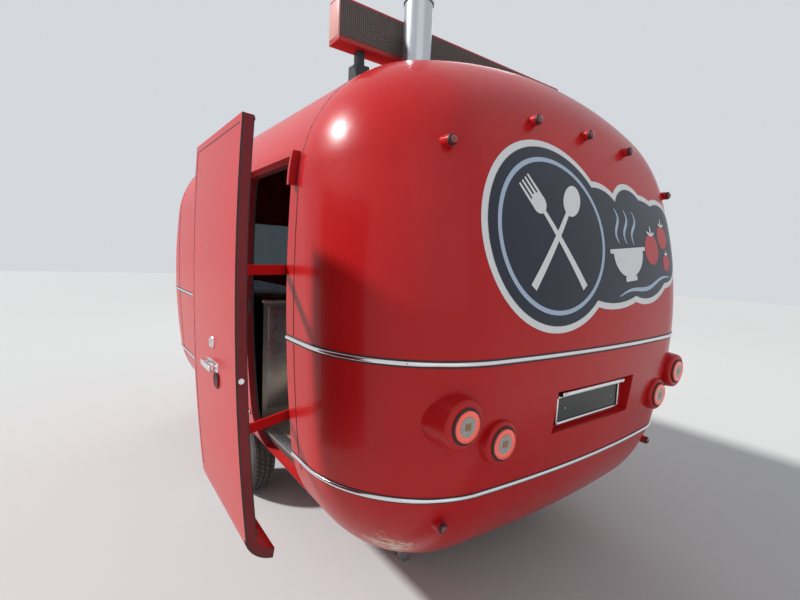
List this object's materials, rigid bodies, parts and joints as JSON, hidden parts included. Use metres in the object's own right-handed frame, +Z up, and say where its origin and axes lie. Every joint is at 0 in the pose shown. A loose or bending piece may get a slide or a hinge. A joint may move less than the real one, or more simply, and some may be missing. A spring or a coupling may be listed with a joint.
{
  "type": "food trailer",
  "caption": "Rounded loaf-shaped food trailer with a side door on swing arms, serving hatch and shelf, flue, sign board, drawbar, jockey wheel and corner steadies.",
  "frame": {"origin": "centre of the tow ball in its coupling", "axes": "+Y the way it is towed, +X its right-hand side, +Z up"},
  "size_m": [2.9738, 5.446, 3.52],
  "materials": {
    "red_paint": "glossy two-pack paint",
    "dark_grey_paint": "satin paint",
    "galvanised": "dull galvanised steel",
    "stainless": "brushed stainless steel",
    "polished_trim": "polished",
    "black_paint": "satin black paint",
    "silver_paint": "silver wheel paint",
    "window_glass": "tinted",
    "red_lens": "clear red lens",
    "plate_plastic": "blank plate",
    "black_rubber": "matt",
    "tyre_rubber": "matt",
    "floor_ply": "sealed plywood"
  },
  "bodies": {
    "trailer": {"rear_cap": "red_paint", "front_cap": "red_paint", "left_side": "red_paint", "right_side": "red_paint", "roof": "red_paint", "floor": "floor_ply", "wheel_boxes": "black_paint", "upper_trim": "polished_trim", "lower_trim": "polished_trim", "drip_rail": "red_paint", "door_bearings": "red_paint", "hatch_hinge": "polished_trim", "shelf_hinges": "stainless", "lamp_pods": "red_paint", "tail_lamps": "red_lens", "marker_lamps": "red_lens", "plate_frame": "black_paint", "number_plate": "plate_plastic", "flue_pipe": "stainless", "flue_collar": "stainless", "roof_sign": "dark_grey_paint", "sign_legs": "black_paint", "roof_vent": "silver_paint", "chassis_rails": "galvanised", "cross_members": "galvanised", "drawbar": "galvanised", "coupling": "galvanised", "axle": "galvanised", "jockey_tube": "galvanised", "jockey_clamp": "galvanised", "steady_pivots": "galvanised", "left_unit": "stainless", "serving_counter": "stainless", "cooking_range": "stainless", "extraction_hood": "stainless", "front_window": "window_glass"},
    "door_arms": {"door_arms": "red_paint"},
    "door_leaf": {"door": "red_paint", "door_seal": "black_rubber", "door_handle": "polished_trim", "door_brackets": "red_paint"},
    "hatch_leaf": {"hatch": "red_paint"},
    "shelf": {"serving_shelf": "stainless"},
    "jockey_screw": {"jockey_stem": "galvanised"},
    "jockey_swivel": {"jockey_fork": "galvanised"},
    "jockey_roller": {"jockey_wheel": "black_rubber"},
    "wheel_left": {"tyre_left": "tyre_rubber", "rim_left": "silver_paint"},
    "wheel_right": {"tyre_right": "tyre_rubber", "rim_right": "silver_paint"},
    "steady_rl": {"steady_rear_left": "galvanised"},
    "steady_rr": {"steady_rear_right": "galvanised"},
    "steady_fl": {"steady_front_left": "galvanised"},
    "steady_fr": {"steady_front_right": "galvanised"}
  },
  "joints": [
    {"name": "door_arm_swing", "type": "hinge", "parent": "trailer", "child": "door_arms", "pos_m": [-1.143, -4.49, 0.87], "axis": [0, 0, 1], "range_deg": [-113, 0]},
    {"name": "door_leaf_turn", "type": "hinge", "parent": "door_arms", "child": "door_leaf", "pos_m": [-1.53882, -4.65801, 0.87], "axis": [0, 0, 1], "range_deg": [0, 113]},
    {"name": "hatch_swing", "type": "hinge", "parent": "trailer", "child": "hatch_leaf", "pos_m": [1.24635, -3.375, 1.675], "axis": [0, -1, 0], "range_deg": [0, 90]},
    {"name": "shelf_fold", "type": "hinge", "parent": "trailer", "child": "shelf", "pos_m": [1.277, -3.375, 0.948], "axis": [0, -1, 0], "range_deg": [0, 90]},
    {"name": "jockey_height", "type": "slide", "parent": "trailer", "child": "jockey_screw", "axis": [0, 0, 1], "range_m": [0, 0.15]},
    {"name": "jockey_turn", "type": "hinge", "parent": "jockey_screw", "child": "jockey_swivel", "pos_m": [0.175, -0.42, -0.21], "axis": [0, 0, 1], "continuous": true},
    {"name": "jockey_roll", "type": "hinge", "parent": "jockey_swivel", "child": "jockey_roller", "pos_m": [0.175, -0.465, -0.33], "axis": [1, 0, 0], "continuous": true},
    {"name": "wheel_left_spin", "type": "hinge", "parent": "trailer", "child": "wheel_left", "pos_m": [-1.015, -3.34, -0.135], "axis": [1, 0, 0], "continuous": true},
    {"name": "wheel_right_spin", "type": "hinge", "parent": "trailer", "child": "wheel_right", "pos_m": [1.015, -3.34, -0.135], "axis": [1, 0, 0], "continuous": true},
    {"name": "steady_rl_fold", "type": "hinge", "parent": "trailer", "child": "steady_rl", "pos_m": [-0.547, -4.6, 0], "axis": [1, 0, 0], "range_deg": [0, 85]},
    {"name": "steady_rr_fold", "type": "hinge", "parent": "trailer", "child": "steady_rr", "pos_m": [0.547, -4.6, 0], "axis": [1, 0, 0], "range_deg": [0, 85]},
    {"name": "steady_fl_fold", "type": "hinge", "parent": "trailer", "child": "steady_fl", "pos_m": [-0.547, -1.95, 0], "axis": [-1, 0, 0], "range_deg": [0, 85]},
    {"name": "steady_fr_fold", "type": "hinge", "parent": "trailer", "child": "steady_fr", "pos_m": [0.547, -1.95, 0], "axis": [-1, 0, 0], "range_deg": [0, 85]}
  ],
  "couplings": [
    {"joint": "door_leaf_turn", "follows": "door_arm_swing", "ratio": -1}
  ]
}
